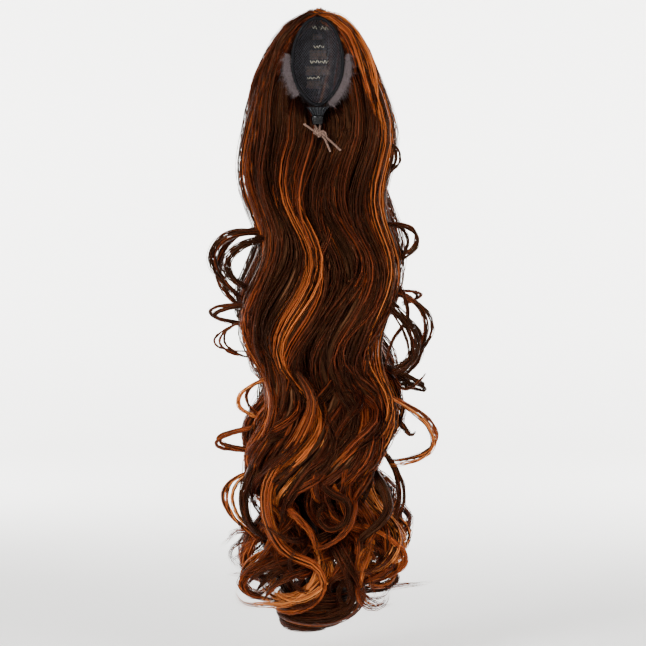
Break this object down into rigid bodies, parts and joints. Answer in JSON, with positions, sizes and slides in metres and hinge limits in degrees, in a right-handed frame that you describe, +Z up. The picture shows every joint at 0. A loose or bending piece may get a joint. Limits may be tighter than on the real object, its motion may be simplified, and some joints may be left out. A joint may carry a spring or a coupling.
{
  "type": "drawstring ponytail hairpiece",
  "caption": "Long wavy clip-free ponytail hairpiece sewn on an oval net cup with a drawstring, cord lock and knotted cord; goes over a bun.",
  "frame": {"origin": "middle of the net cup's mouth, where the hairpiece seats over the wearer's bun", "axes": "-Y out of the cup's mouth, towards the head; +Z up; the hair hangs along -Z; +X to the right as the mouth is looked into"},
  "size_m": [0.2592, 0.1145, 0.6904],
  "materials": {
    "black_net": "knitted nylon net",
    "casing": "woven hem",
    "gathers": "gathered net, slight sheen",
    "grey_pile": "soft pile",
    "weft": "stitched hair ends",
    "black_plastic": "gloss",
    "cord": "braided cord",
    "hair": "glossy synthetic fibre, dark brown with copper streaks"
  },
  "bodies": {
    "root": {"net_cup": "black_net", "drawstring_casing": "casing", "gathered_net": "gathers", "side_strip_left": "grey_pile", "side_strip_right": "grey_pile", "weft_row_1": "weft", "weft_row_2": "weft", "weft_row_3": "weft", "weft_row_4": "weft", "cord_lock": "black_plastic", "drawstring_left": "cord", "drawstring_right": "cord", "drawstring_knot": "cord", "drawstring_tail_left": "cord", "drawstring_tail_right": "cord", "drawstring_bow": "cord", "crown_hair": "hair", "tail_hair": "hair"}
  },
  "joints": []
}
